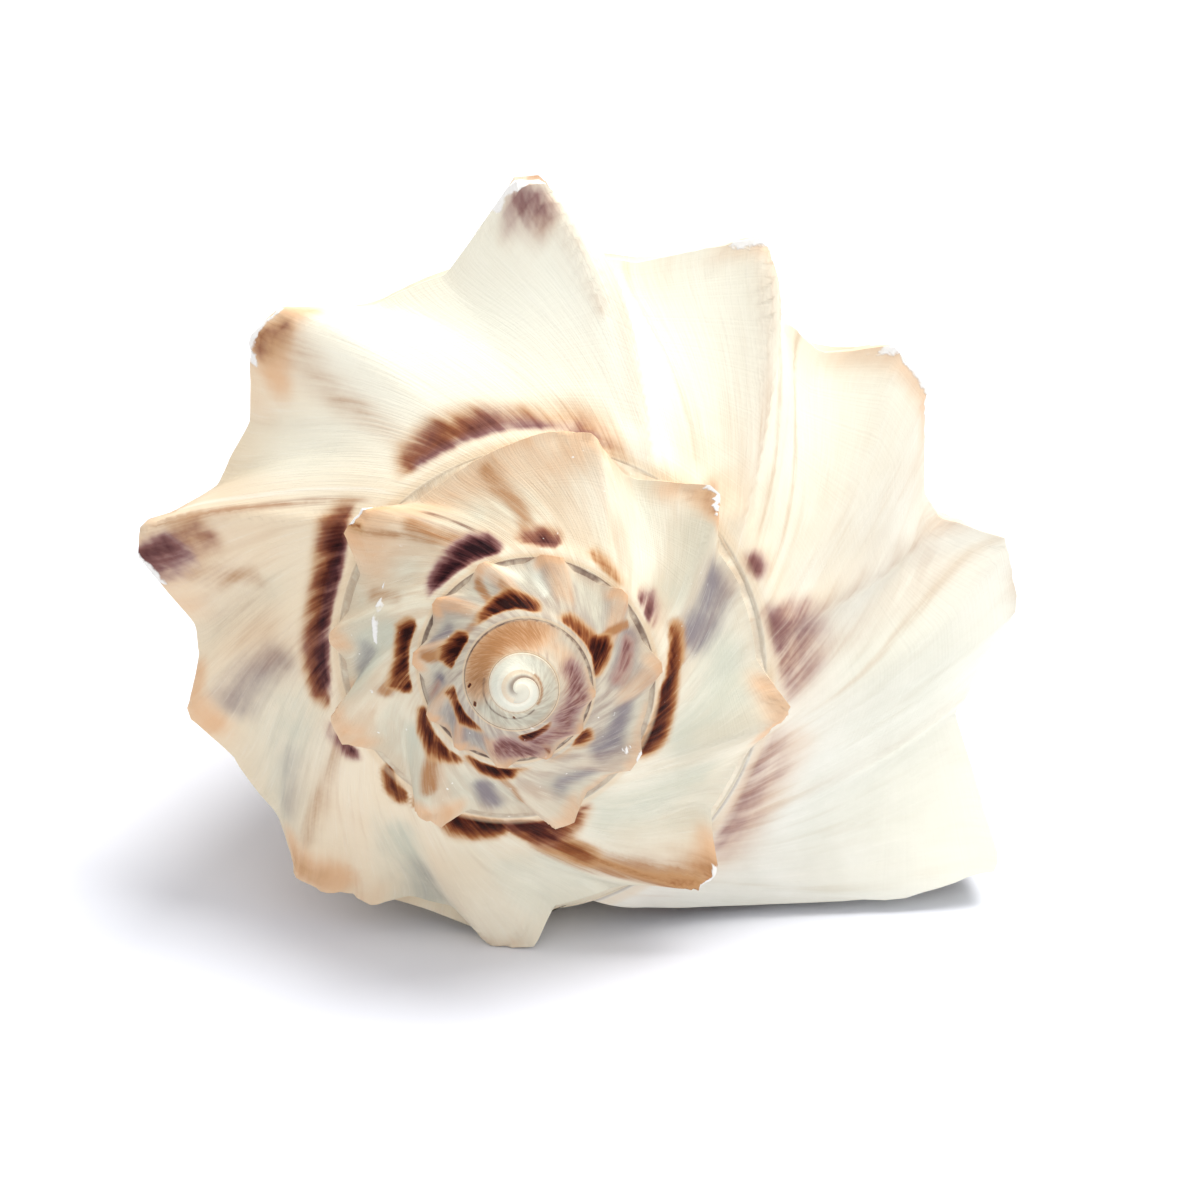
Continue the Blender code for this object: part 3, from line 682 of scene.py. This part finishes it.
# Strokes, after the name of their kind: (strength, half width, then growth angle and place of each point of the path)
STROKE_DEGREES = 36  # degrees that count as far as 1 across the whorl
STROKE_REACH = 60  # degrees beyond its path that a stroke of half width 1 is looked for
STROKES = (
    "brown",
    (0.5, 0.11, -276, 0.2, -282, 0.32, -288, 0.46), (0.34, 0.05, -286, 0.42, -295, 0.62, -303, 0.8, -307, 0.94),
    (0.42, 0.06, -1004, 0.36, -1008, 0.6, -1012, 0.9), (1.2, 0.045, -1263, 0.88, -1260, 0.8),
    (1.2, 0.045, -1286, 0.92, -1283, 0.84), (1.1, 0.04, -1343, 0.32, -1341, 0.26),
    (0.45, 0.045, -306, 0.92, -303, 0.82), (0.5, 0.035, -500, 1, -499, 0.9),
    "tan",
    (1, 0.11, -277, 0.24, -284, 0.4, -290, 0.55, -298, 0.7, -304, 0.86, -308, 1), (0.4, 0.06, -165, 0.55, -168, 0.85),
    (0.4, 0.06, -206, 0.2, -214, 0.42, -219, 0.6, -222, 0.75), (0.35, 0.09, -120, 0.3, -126, 0.6, -128, 0.9),
    (0.3, 0.05, -77, 0.55, -82, 0.72, -87, 0.88), (0.25, 0.08, 2, 0.3, -4, 0.55, -10, 0.85),
    (0.6, 0.09, -447, 0.28, -451, 0.5, -457, 0.7, -460, 0.88), (0.7, 0.09, -474, 0.3, -483, 0.45, -487, 0.6),
    (0.45, 0.09, -510, 0.45, -514, 0.75), (0.8, 0.08, -545, 0.3, -549, 0.42),
    (0.85, 0.08, -584, 0.32, -588, 0.48, -593, 0.66), (0.6, 0.06, -620, 0.3, -627, 0.44, -630, 0.62),
    (0.55, 0.06, -376, 0.25, -372, 0.28, -362, 0.24), (0.9, 0.07, -745, 0.3, -746, 0.5, -745, 0.85),
    (0.85, 0.08, -829, 0.38, -832, 0.6, -834, 0.86), (0.5, 0.06, -812, 0.34, -817, 0.48, -821, 0.62),
    (0.95, 0.1, -879, 0.4, -884, 0.58, -887, 0.76), (0.5, 0.08, -860, 0.28, -848, 0.27, -840, 0.3),
    (0.6, 0.06, -1004, 0.36, -1009, 0.6, -1013, 0.85), (0.72, 0.6, -1250, 0.55, -1215, 0.5, -1180, 0.58, -1160, 0.62),
    (0.6, 0.22, -1260, 0.5, -1240, 0.25, -1205, 0.28), (0.7, 0.1, -1480, 0.08, -1440, 0.1, -1400, 0.12),
    (0.25, 0.25, -180, 0.4, -172, 0.7), (0.5, 0.12, -88, 1.08, -84, 1.5, -80, 2),
    (0.45, 0.14, -163, 1.1, -160, 1.6, -158, 2.2), (0.4, 0.14, -5, 1.1, -2, 1.6, 0, 2.3),
    (0.4, 0.1, -40, 1.15, -36, 1.7), (0.5, 0.14, -225, 1.2, -222, 1.8, -220, 2.4), (0.35, 0.07, -228, 0.93, -223, 0.9),
    "peach",
    (1, 0.62, -1262, 0.55, -1220, 0.6, -1185, 0.6, -1150, 0.62), (0.55, 0.4, -1140, 0.5, -1110, 0.5),
    (0.5, 0.12, -1090, 0.98, -1040, 0.98, -980, 0.98, -920, 0.98),
    (0.5, 0.1, -704, 1, -690, 0.96, -672, 0.98, -650, 1), (0.55, 0.3, -505, 0.85, -480, 0.85, -440, 0.85),
    (0.8, 0.1, -132, 0.9, -124, 0.95), (0.8, 0.1, -194, 0.95, -186, 0.95), (0.8, 0.12, -232, 0.92, -222, 0.9),
    (0.35, 0.1, -268, 0.98, -258, 0.98), (1, 0.12, -312, 1, -303, 0.92), (0.7, 0.12, -352, 0.96, -342, 0.94),
    (0.9, 0.1, -403, 0.97, -397, 0.9), (0.9, 0.12, -502, 0.96, -492, 0.94), (0.7, 0.14, -560, 0.92, -550, 0.94),
    (0.7, 0.14, -604, 0.94, -594, 0.94), (0.6, 0.14, -650, 0.94, -640, 0.94), (0.6, 0.05, -446, 1.04, -440, 1.04),
    (0.5, 0.07, -62, 0.99, -56, 1), (0.55, 0.08, -40, 1, -28, 0.96), (0.35, 0.1, 20, 0.2, 36, 0.14, 50, 0.12),
    "lavender",
    (0.8, 0.28, -1098, 0.5, -1080, 0.55, -1060, 0.5), (0.9, 0.3, -1060, 0.55, -1020, 0.6, -985, 0.6),
    (0.5, 0.4, -965, 0.6, -925, 0.6), (0.9, 0.16, -912, 0.92, -908, 0.72, -901, 0.58),
    (0.7, 0.15, -876, 0.78, -866, 0.6), (1, 0.18, -738, 0.8, -728, 0.6, -718, 0.45),
    (0.75, 0.2, -700, 0.58, -684, 0.62, -676, 0.5), (0.6, 0.16, -664, 0.66, -650, 0.62),
    (0.75, 0.15, -618, 0.8, -613, 0.55), (0.5, 0.12, -541, 0.8, -534, 0.68),
    (0.85, 0.2, -381, 0.78, -374, 0.6, -370, 0.42), (0.6, 0.12, -191, 0.75, -186, 0.58, -182, 0.42),
    (0.35, 0.12, -214, 0.78, -206, 0.6), (0.35, 0.16, -250, 0.9, -246, 0.7), (0.22, 0.14, -14, 0.62, -6, 0.42),
    "purple",
    (0.46, 0.4, -1094, 0.5, -1075, 0.55, -1058, 0.5, -1040, 0.5), (0.42, 0.34, -1032, 0.62, -1014, 0.6, -1004, 0.55),
    (0.58, 0.3, -996, 0.75, -986, 0.62, -978, 0.55), (0.32, 0.12, -911, 0.85, -905, 0.65),
    (0.42, 0.14, -736, 0.74, -726, 0.58, -718, 0.42), (0.38, 0.06, -91, 0.94, -89, 0.9, -87, 0.84),
    (0.75, 0.06, -168, 1, -166, 0.92, -164, 0.86),
    "cool",
    (0.5, 0.8, -1500, 0.6, -1270, 0.6), (0.7, 0.2, -590, 0.8, -578, 0.5, -572, 0.35),
    (0.9, 0.2, -543, 0.72, -530, 0.62, -524, 0.45), (0.55, 0.16, -476, 0.75, -466, 0.55),
    (0.35, 0.1, -452, 0.4, -446, 0.3), (0.6, 0.22, -396, 0.7, -386, 0.4), (0.7, 0.3, -360, 0.7, -345, 0.55, -335, 0.4),
    (0.6, 0.3, -325, 0.6, -312, 0.4, -300, 0.25), (0.3, 0.25, -282, 0.8, -268, 0.6, -256, 0.45),
    (0.7, 0.14, -250, 0.95, -244, 0.7, -236, 0.45), (0.5, 0.28, -215, 0.85, -205, 0.6, -195, 0.45),
    (0.35, 0.4, 8, 0.55, 30, 0.45, 50, 0.3),
    "shade",
    (0.34, 0.7, -1500, 0.6, -1270, 0.6),
    (0.9, 0.06, -1385, 0.2, -1360, 0.32, -1330, 0.4, -1300, 0.38, -1270, 0.28, -1248, 0.18),
    "bright",
    (0.9, 0.9, -2050, 0.5, -1500, 0.5), (0.9, 0.06, -793, 0.45, -799, 0.65, -804, 0.95),
    (0.7, 0.18, -812, 0.85, -826, 0.95), (0.5, 0.22, -424, 0.6, -410, 0.7, -402, 0.45),
    (0.3, 0.25, -352, 0.75, -336, 0.7), (1, 0.42, -118, 0.55, -95, 0.62, -66, 0.58), (0.7, 0.25, -140, 0.6, -128, 0.5),
    (0.55, 0.3, -290, 0.8, -262, 0.85), (0.7, 0.3, -56, 0.65, -36, 0.75), (0.8, 0.45, 4, 0.8, 24, 0.85, 30, 1.1),
    "dusk",
    (0.4, 0.055, -131, 0.97, -127, 0.9), (0.42, 0.08, -166, 0.92, -163, 0.82, -160, 0.74),
    (0.3, 0.05, -402, 0.95, -398, 0.88),
    "chip",
    (1, 0.035, -499, 1, -494, 1.02), (1, 0.03, -403, 1, -399, 1), (0.8, 0.02, -400, 0.96, -397, 0.88),
    (0.9, 0.025, -686, 0.98, -682, 1), (0.7, 0.025, -685, 0.86, -682, 0.8), (1, 0.025, -311, 1, -304, 1.02),
    (1, 0.028, -93, 1, -85, 1.01), (0.9, 0.026, -133, 1, -126, 1.01), (0.8, 0.018, -170, 1, -167, 1),
    (0.7, 0.026, -38, 1, -18, 1.02), (0.7, 0.025, -62, 1, -57, 1), (0.75, 0.03, -530, 0.57, -522, 0.56, -515, 0.55),
    (0.75, 0.018, -517, 0.62, -513, 0.6), (0.75, 0.016, -510, 0.7, -507, 0.68),
)


def every(table):
    """Each row of a table of marks, with the name of its kind in front."""
    for row in table:
        if isinstance(row, str):
            kind = row
        else:
            yield (kind, *row)


def lay_marks(mesh):
    """Colour attributes on the face corners, from the bands, the strokes and the shape; the shape also gives painted
    shade in the hollows and on the wall beside the older sutures.
    """
    flat = np.empty(len(mesh.loops) * 2, np.float32)
    mesh.uv_layers["whorl_map"].data.foreach_get("uv", flat)
    swept, across = flat.reshape(-1, 2).T.astype(float)
    growth = swept * 360 + lean(across)
    outside = across < LINING_PLACE - 0.5
    total = {tone: np.zeros(len(growth)) for tones in LAYERS.values() for tone in tones}

    def lay(kind, amount, near=slice(None)):
        """Raise a kind of mark to an amount wherever it is weaker."""
        for tone, share in STAINS.get(kind, {kind: 1}).items():
            total[tone][near] = np.maximum(total[tone][near], amount * share)

    for kind, soft, *edge in every(BANDS):
        at, low, high, strength = np.array(edge, float).reshape(-1, 4).T
        near = np.nonzero(outside & (growth > at[0]) & (growth < at[-1]) & (across < 0.8))[0]
        low, high, strength = (np.interp(growth[near], at, values) for values in (low, high, strength))
        inner = smooth(across[near], low - 0.04, low + 0.03)
        outer = 1 - smooth(across[near], high - soft * 1.5, high + soft * 2.3)
        lay(kind, strength * inner * outer, near)
    for kind, strength, half, *path in every(STROKES):
        path = np.array(path, float).reshape(-1, 2)
        low, high = path[:, 0].min() - STROKE_REACH * half, path[:, 0].max() + STROKE_REACH * half
        near = np.nonzero(outside & (growth > low) & (growth < high))[0]
        spot = np.stack([growth[near] / STROKE_DEGREES, across[near]], -1)
        path = path / (STROKE_DEGREES, 1)
        away = np.full(len(near), 9.0)
        for start, end in zip(path[:-1], path[1:]):
            run = end - start
            share = np.clip((spot - start) @ run / (run @ run), 0, 1)
            away = np.minimum(away, np.linalg.norm(spot - start - share[:, None] * run, axis=1))
        lay(kind, strength * (1 - smooth(away / half, 0.0, 1.8)), near)

    # Painted shade in cool grey in the hollows between the folds, warm folds and edges, tan rest ridges, and painted
    # shade in a dark tone on the wall beside the older sutures
    wave = knob_wave(growth)
    older = outside * (1 - smooth(growth, -345, -325))
    third = 1 - smooth(growth, -715, -680)
    fold = smooth(knob_wave(growth - SWEEP * (1 - np.clip(across, 0, 1))), -0.04, 0.04)
    ramp = smooth(across, 0.22, 0.5) * (1 - smooth(across, 1.0, 1.1)) * outside * (1 - 0.7 * smooth(growth, -160, -90))
    # Painted shade: cool grey where the folds sink between the knobs on the ramp
    lay("cool", 0.36 * (1 - fold) * ramp)
    lay("peach", (0.2 + 0.3 * third) * fold * ramp)
    edge = smooth(across, 0.7, 0.98) * (1 - 0.6 * smooth(across, 1.05, 1.3)) * outside
    edge = edge * (0.35 + 0.65 * smooth(wave, -0.03, 0.04))
    edge = edge * (1 - 0.75 * smooth(growth, -335, -305) * (1 - smooth(growth, -255, -235)))
    lay("peach", edge * (0.42 - 0.36 * smooth(growth, -150, -95) + 0.16 * older + 0.25 * third))
    lay("tan", 0.3 * ridge_height(growth, across) * outside)
    # Painted shade: a dark tone on the steep wall under the shoulder, where it shows between the knobs of the older
    # whorls
    wall = smooth(across, 0.99, 1.03) * older * (1 - 0.85 * smooth(wave, -0.03, 0.05))
    wall = wall * (0.3 + 0.7 * (1 - smooth(growth, -720, -690))) * (0.15 + 0.85 * smooth(growth, -1290, -1230))
    lay("shade", wall)
    for name, tones in LAYERS.items():
        layer = mesh.color_attributes.new(name=name, type="FLOAT_COLOR", domain="CORNER")
        values = np.stack([total[tone] for tone in tones] + [np.ones(len(growth))], -1)
        layer.data.foreach_set("color", values.astype(np.float32).ravel())


# Paints of the outside, each with its lighter and darker form where there are two
CREAM, BEIGE, LEFT_WARMTH, LIP_WHITE = (0.87, 0.81, 0.66), (0.8, 0.7, 0.53), (0.9, 0.745, 0.53), (0.91, 0.905, 0.86)
FLANK, BRUSHED = ((0.64, 0.53, 0.37), (0.5, 0.385, 0.25)), (0.66, 0.5, 0.34)
AGED, GREYED = ((0.79, 0.715, 0.54), (0.68, 0.54, 0.375)), ((0.6, 0.53, 0.41), (0.38, 0.3, 0.25))
BRIGHT, COOL, LAVENDER, HAIRLINE = (0.97, 0.95, 0.8), (0.59, 0.6, 0.48), (0.19, 0.155, 0.185), (0.95, 0.92, 0.82)
PEACH, TAN, HALO = (0.78, 0.45, 0.235), (0.42, 0.185, 0.065), (0.66, 0.43, 0.23)
RIM, SEAM, SHADE, CHIP = (0.84, 0.64, 0.42), (0.2, 0.1, 0.06), (0.15, 0.1, 0.075), (0.93, 0.9, 0.85)
# Stains from their faint edge to their darkest middle: brown ones and purple ones
STAIN_STOPS = (0.0, 0.24, 0.48, 0.74, 1.0)
BROWNS = ((0.7, 0.5, 0.29), (0.54, 0.28, 0.115), (0.27, 0.085, 0.028), (0.095, 0.017, 0.006), (0.02, 0.002, 0.001))
PURPLES = ((0.66, 0.5, 0.42), (0.46, 0.3, 0.27), (0.22, 0.1, 0.093), (0.075, 0.02, 0.022), (0.016, 0.003, 0.005))


def new_material(name):
    """An empty material with its bench and its shader."""
    made = bpy.data.materials.new(name)
    made.use_nodes = True
    made.node_tree.nodes.clear()
    bench = Bench(made.node_tree)
    look = bench.node("ShaderNodeBsdfPrincipled")
    bench.feed(made.node_tree.nodes.new("ShaderNodeOutputMaterial"), Surface=look)
    return made, bench, look.socket.node


def outside_material():
    """Worn cream glaze: even tones first, then painted shade in the hollows, streaks, stains, sutures, painted shade on
    the wall beside the sutures and chips over them.
    """
    made, bench, look = new_material("glazed_cream")
    place = bench.node("ShaderNodeSeparateXYZ", None, bench.node("ShaderNodeUVMap", {"uv_map": "whorl_map"}))
    across = Wire(bench, place.socket.node.outputs[1])
    here = bench.node("ShaderNodeTexCoord", out=3)
    rise, fall, base = bench.smooth, bench.fade, CREAM

    def along(often, wide, seed):
        """Noise that is drawn out along the growth lines."""
        return bench.noise(bench.vector(place * often, across * wide, seed), 1.0, 2.0, 0.6)

    def channels(name):
        split = bench.node("ShaderNodeSeparateColor", None, bench.node("ShaderNodeAttribute", {"attribute_name": name}))
        return [Wire(bench, socket) for socket in split.socket.node.outputs]

    def coat(share, colour):
        """Lay a colour over what is there."""
        nonlocal base
        base = bench.blend(share.clamped(), base, colour)

    stain, purple, chip = channels("marks")
    tan, peach, cool = channels("tones")
    lavender, bright, shade = channels("tints")
    brush, hair, broad = along(150.0, 2.6, 1.0), along(640.0, 4.0, 2.0), along(46.0, 1.6, 3.0)
    cloud = bench.noise(here, 60.0, 3.0, 0.55)
    patch = bench.noise(here, 140.0, 4.0, 0.6)
    grain = bench.noise(here, 420.0, 3.0, 0.6)
    old = fall(place, -1.15, -0.95)

    coat(rise(cloud * 0.6 + broad * 0.4, 0.4, 0.6), BEIGE)
    left = fall(place, -0.4, -0.24) * (0.1 + 0.9 * rise(place, -0.82, -0.68))
    coat(left * (0.35 + cloud * 0.7), LEFT_WARMTH)
    coat(rise(place, -0.12, 0.02) * fall(across, 1.1, 1.4) * 0.6, LIP_WHITE)
    flank = bench.blend(rise(broad * 0.6 + cloud * 0.4, 0.4, 0.6), *FLANK)
    coat(rise(across, 1.12, 1.55) * 0.85, flank)
    coat(rise(brush, 0.5, 0.75) * 0.28, BRUSHED)
    coat(old * 0.7, bench.blend(rise(broad, 0.4, 0.6), *AGED))
    dim = rise(place, -3.5, -3.25) * fall(place, -2.0, -1.55)
    coat(dim * 0.8, bench.blend(rise(broad * 0.6 + patch * 0.4, 0.4, 0.6), *GREYED))
    coat(bright * 0.9 + (cloud - 0.5) * bright * 0.5, BRIGHT)
    mottle = (patch - 0.5) * 1.1 + (brush - 0.5) * 0.8
    # The cool channel paints shade into the hollows between the folds, and also carries the listed cool strokes
    coat(rise(cool + mottle * cool, 0.0, 0.85) * 0.8, COOL)
    coat(rise(lavender + mottle * lavender, 0.0, 0.9) * 0.85, LAVENDER)
    coat(rise(hair, 0.5, 0.8) * 0.22, HAIRLINE)
    coat(rise(peach + mottle * peach * 0.8, 0.0, 0.9) * 0.8, PEACH)
    streaks = (brush - 0.5) * 1.5 + (hair - 0.5) * 0.8 + (patch - 0.5) * 0.9
    coat(rise(tan + streaks * tan, 0.0, 0.85) * 0.9, TAN)

    waver = place + (cloud - 0.5) * 0.008
    frayed = rise(hair + patch, 0.7, 1.15)
    for at, low, high, width, strength, colour in FINE_LINES:
        away = waver - at / 360
        span = rise(across, low - 0.06, low + 0.06) * fall(across, high - 0.08, high + 0.04)
        coat(fall(away.worked("ABSOLUTE", away), 0.0, width / 360) * span * strength * frayed, colour)

    broken = (brush - 0.5) * 0.8 + (hair - 0.5) * 0.25 + (patch - 0.5) * 1.0 + (along(80.0, 3.4, 9.0) - 0.5) * 1.1
    held = (stain * (0.92 + broken * 1.1)).clamped()
    browns, purples = (bench.node("ShaderNodeValToRGB", {"stops": tuple(zip(STAIN_STOPS, tones))}, held)
                       for tones in (BROWNS, PURPLES))
    purple = rise(purple / (stain + 0.05) + (patch - 0.5) * 1.2, 0.1, 1.1)
    coat(rise(stain, 0.0, 0.5) * (0.6 - purple * 0.35), HALO)
    coat(rise(held, 0.03, 0.42), bench.blend(purple, browns, purples))
    rim = rise(across, 0.008, 0.02) * fall(across, 0.035, 0.07)
    coat(rim * (0.35 + old * 0.25), RIM)
    seam = fall(across, 0.004, 0.016) * rise(grain + cloud, 0.55, 0.95)
    coat(seam * (0.35 + old * 0.45) * rise(place, -5.2, -4.2), SEAM)
    # Painted shade on that wall between the knobs, together with the listed shade strokes near the tip
    coat(shade * (0.4 + 0.6 * rise(patch * 0.5 + broad * 0.5, 0.38, 0.6)), SHADE)
    coat(rise(bench.noise(here, 1500.0, 1.0, 0.5), 0.74, 0.78) * rise(patch, 0.5, 0.62) * old * 0.8, CHIP)
    worn = rise(chip + (grain - 0.5) * 1.6, 0.35, 0.6) * rise(chip, 0.02, 0.2)
    coat(worn, CHIP)

    threads = bench.noise(bench.vector(place * 8.0, across * 95.0, 5.0), 1.0, 1.0, 0.5)
    height = hair * 0.5 + brush * 0.7 + threads * 0.25 + grain * (0.15 + worn * 1.6)
    bump = bench.node("ShaderNodeBump", None, Strength=0.4, Distance=0.0004, Height=height)
    bench.feed(look, Base_Color=base, Roughness=0.42 + cloud * 0.16 + worn * 0.3, Normal=bump)
    look.inputs["Specular IOR Level"].default_value = 0.08
    return made


def inside_material():
    """The warm, glossy lining of the hollow and the canal."""
    made, bench, look = new_material("glossy_lining")
    spot = bench.node("ShaderNodeUVMap", {"uv_map": "whorl_map"})
    drawn = bench.node("ShaderNodeVectorMath", {"operation": "MULTIPLY"}, spot, (160.0, 14.0, 1.0))
    lines = bench.noise(drawn, 1.0, 2.0, 0.5)
    cloud = bench.noise(bench.node("ShaderNodeTexCoord", out=3), 40.0, 3.0, 0.5)
    colour = bench.blend(bench.smooth(cloud, 0.35, 0.65), (0.86, 0.72, 0.55), (0.82, 0.56, 0.38))
    colour = bench.blend(bench.smooth(lines, 0.45, 0.8) * 0.3, colour, (0.92, 0.84, 0.72))
    bump = bench.node("ShaderNodeBump", None, Strength=0.2, Distance=0.0003, Height=lines)
    bench.feed(look, Base_Color=colour, Roughness=0.16 + cloud * 0.14, Normal=bump)
    look.inputs["Coat Weight"].default_value = 0.3
    return made


def floor_material():
    """A pale, plain floor."""
    made, bench, look = new_material("white_floor")
    cloud = bench.noise(bench.node("ShaderNodeTexCoord", out=3), 3.0, 2.0, 0.5)
    bench.feed(look, Base_Color=bench.blend(cloud, (0.88, 0.9, 0.98), (0.9, 0.92, 0.99)))
    look.inputs["Roughness"].default_value = 0.9
    return made


def make_shell():
    """The whole shell as one piece, with its spiral hollow and its canal cut out."""
    shell = outside_object(outside_material())
    shell.data.materials.append(inside_material())
    cutters = hollow_object(), groove_object()
    for cutter in cutters:
        cut = shell.modifiers.new(cutter.name, "BOOLEAN")
        cut.operation, cut.solver, cut.object = "DIFFERENCE", "MANIFOLD", cutter
    shell = plain_copy(shell, "whelk_shell")
    for cutter in cutters:
        bpy.data.objects.remove(cutter, do_unlink=True)
    mesh = shell.data
    turned = Matrix.Rotation(np.radians(90 - LIE_TILT), 4, "X") @ Matrix.Rotation(np.radians(LIE_ROLL), 4, "Z")
    mesh.transform(Matrix.Translation(APEX_AT) @ turned)
    low, high = (np.array(corner) for corner in cad_box)
    spots = np.empty(len(mesh.vertices) * 3, np.float32)
    mesh.vertices.foreach_get("co", spots)
    spots = np.clip(spots.reshape(-1, 3), low + INSET, high - INSET)
    mesh.vertices.foreach_set("co", spots.astype(np.float32).ravel())
    lay_marks(mesh)
    mesh.polygons.foreach_set("use_smooth", np.ones(len(mesh.polygons), bool))
    mesh.set_sharp_from_angle(angle=np.radians(SHARP_ANGLE))
    mesh.update()
    return shell


def area_light(name, at, size, power, colour):
    """A round soft light that is turned to the shell."""
    light = bpy.data.lights.new(name, "AREA")
    light.shape, light.size, light.energy, light.color = "DISK", size, power, colour
    thing = placed(name, light)
    thing.location = at
    thing.rotation_euler = (Vector(LIT_SPOT) - Vector(at)).to_track_quat("-Z", "Y").to_euler()


def make_surroundings():
    """Floor, even light from all around, two lights and the camera."""
    mesh = bpy.data.meshes.new("floor")
    corners = [(x * FLOOR_HALF, y * FLOOR_HALF, 0) for x, y in ((-1, -1), (1, -1), (1, 1), (-1, 1))]
    mesh.from_pydata(corners, [], [(0, 1, 2, 3)])
    mesh.materials.append(floor_material())
    placed("floor", mesh)
    world = bpy.data.worlds.new("studio")
    world.use_nodes = True
    glow = world.node_tree.nodes["Background"].inputs
    glow["Color"].default_value, glow["Strength"].default_value = (0.95, 0.97, 1.0, 1.0), 0.69
    bpy.context.scene.world = world
    area_light("key", (0.28, 0.15, 0.92), 0.8, 11.3, (1.0, 0.985, 0.95))
    area_light("fill", (0.3, -0.8, 0.55), 0.6, 0.5, (1.0, 0.985, 0.96))
    camera = bpy.data.cameras.new("camera")
    camera.lens, camera.sensor_width = LENS, SENSOR
    eye = placed("camera", camera)
    eye.location = EYE_AT
    eye.rotation_euler = tuple(np.radians(EYE_TURN))
    bpy.context.scene.camera = eye
    bpy.context.scene.view_settings.view_transform = "Standard"


shell = make_shell()
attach(shell, "root")
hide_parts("shell")
make_surroundings()
